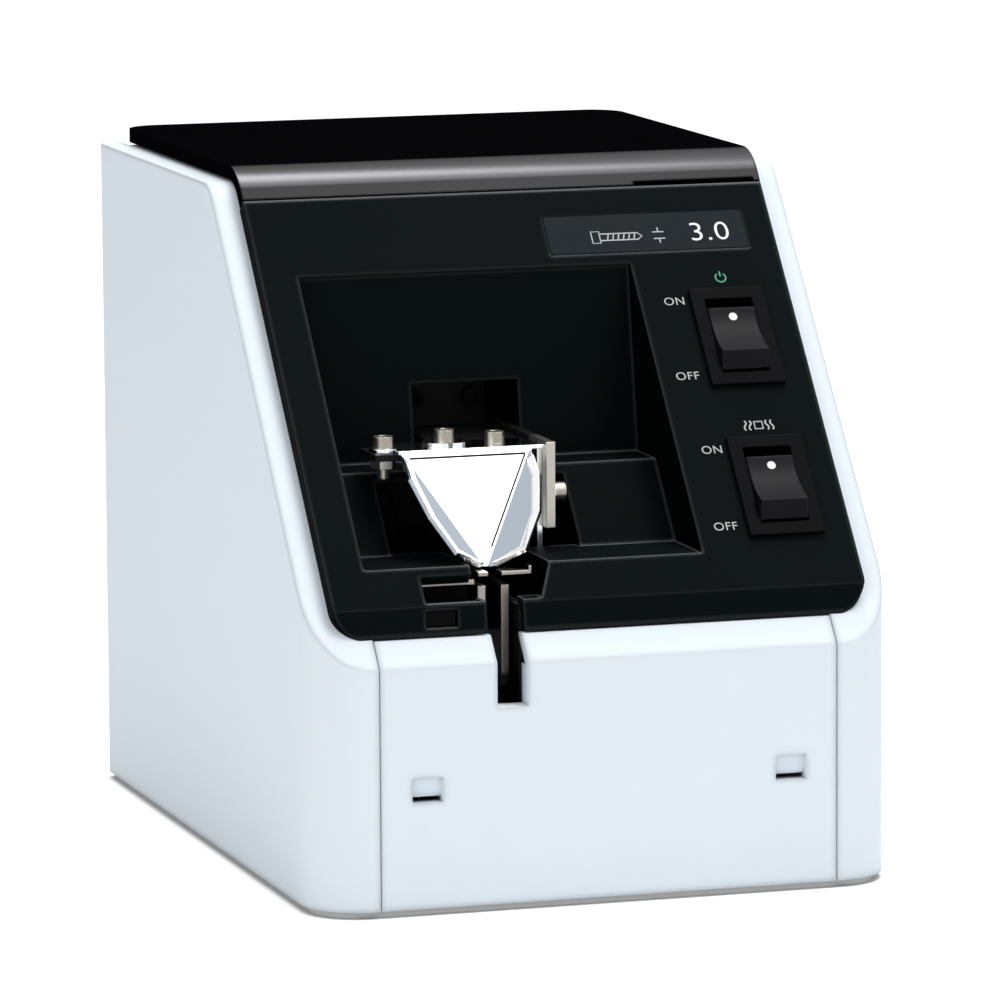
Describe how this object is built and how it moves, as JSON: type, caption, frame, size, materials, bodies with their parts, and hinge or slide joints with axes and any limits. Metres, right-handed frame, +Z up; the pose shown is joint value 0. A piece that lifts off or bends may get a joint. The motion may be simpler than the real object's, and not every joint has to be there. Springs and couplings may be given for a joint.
{
  "type": "automatic screw feeder",
  "caption": "Bench-top screw feeder: white housing, sloping black front with a recess, polished bit guide over a slotted rail, rocker switches, smoked lid over a hopper with lifter and brush.",
  "frame": {"origin": "centre of the footprint, on the surface the rubber feet stand on", "axes": "+X to the right seen from the front, +Y from the front face to the back, +Z up"},
  "size_m": [0.128, 0.176, 0.1493],
  "materials": {
    "shell": "fine satin",
    "panel": "fine texture",
    "smoke": "polished, smoked",
    "label": "satin film",
    "window": "dark red, polished",
    "switch": "satin",
    "chrome": "polished",
    "steel": "brushed",
    "zinc": "satin",
    "brass": "turned",
    "rubber": "matt",
    "nylon": "moulded",
    "bristle": "bristle",
    "board": "solder mask"
  },
  "bodies": {
    "housing": {"casing": "shell", "base_plate": "zinc", "rubber_feet": "rubber", "base_screws": "steel", "front_panel": "panel", "hinge_pins": "steel", "label_plate": "label", "sensor_window": "window", "power_switch": "switch", "vibration_switch": "switch", "hopper": "panel", "hopper_floor": "panel", "passing_plate": "steel", "passing_screws": "steel", "leaf_springs": "steel", "spring_blocks": "zinc", "gear_motor": "steel", "motor_bracket": "zinc", "guide_rods": "steel", "brush_shaft": "steel", "guide_bracket": "steel", "guide_cheek": "steel", "guide_funnel": "chrome", "cap_screws": "steel", "guide_washers": "chrome", "guide_nut": "steel", "escapement_block": "panel", "head_guides": "chrome", "circuit_board": "board", "board_parts": "zinc", "dc_inlet": "rubber"},
    "front_cover": {"front_cover": "shell"},
    "lid": {"lid": "smoke"},
    "power_rocker": {"power_rocker": "switch"},
    "vibration_rocker": {"vibration_rocker": "switch"},
    "rail": {"rail_left": "chrome", "rail_right": "chrome", "rail_base": "zinc", "rail_screws": "steel", "vibration_motor": "steel"},
    "eccentric": {"eccentric_weight": "brass"},
    "lifter": {"lifter": "nylon", "roller_pin": "steel"},
    "roller": {"follower_roller": "brass"},
    "cam": {"lifter_cam": "nylon", "cam_shaft": "steel"},
    "brush": {"brush_arm": "zinc", "brush_bristles": "bristle"},
    "gate": {"gate_slide": "chrome"}
  },
  "joints": [
    {"name": "lid_hinge", "type": "hinge", "parent": "housing", "child": "lid", "pos_m": [0, 0.0846, 0.1455], "axis": [-1, 0, 0], "range_deg": [0, 95]},
    {"name": "cover_pull", "type": "slide", "parent": "housing", "child": "front_cover", "axis": [0, -1, 0], "range_m": [0, 0.03]},
    {"name": "power_switch_rock", "type": "hinge", "parent": "housing", "child": "power_rocker", "pos_m": [0.0438, -0.04186, 0.11191], "axis": [1, 0, 0], "range_deg": [0, 22]},
    {"name": "vibration_switch_rock", "type": "hinge", "parent": "housing", "child": "vibration_rocker", "pos_m": [0.0438, -0.06649, 0.08297], "axis": [1, 0, 0], "range_deg": [0, 22]},
    {"name": "rail_shake", "type": "slide", "parent": "housing", "child": "rail", "axis": [0, 1, 0], "range_m": [-0.0004, 0.0004], "stiffness_N_per_m": 8000, "deforming": ["leaf_springs"]},
    {"name": "weight_spin", "type": "hinge", "parent": "rail", "child": "eccentric", "pos_m": [-0.047, -0.008, 0.0315], "axis": [1, 0, 0], "continuous": true},
    {"name": "cam_turn", "type": "hinge", "parent": "housing", "child": "cam", "pos_m": [-0.0134, 0.032, 0.0275], "axis": [1, 0, 0], "range_deg": [0, 168]},
    {"name": "lifter_slide", "type": "slide", "parent": "housing", "child": "lifter", "axis": [0, 0, 1], "range_m": [0, 0.01582]},
    {"name": "roller_spin", "type": "hinge", "parent": "lifter", "child": "roller", "pos_m": [-0.0134, 0.032, 0.0367], "axis": [1, 0, 0], "continuous": true},
    {"name": "brush_sweep", "type": "hinge", "parent": "housing", "child": "brush", "pos_m": [-0.0213, -0.006, 0.0835], "axis": [0, 1, 0], "range_deg": [0, 45.1]},
    {"name": "gate_slide", "type": "slide", "parent": "housing", "child": "gate", "axis": [-1, 0, 0], "range_m": [0, 0.003], "stiffness_N_per_m": 150}
  ],
  "couplings": [
    {"joint": "lifter_slide", "follows": "cam_turn", "m_per_rad": 0.0053925},
    {"joint": "brush_sweep", "follows": "cam_turn", "ratio": 0.26786}
  ]
}
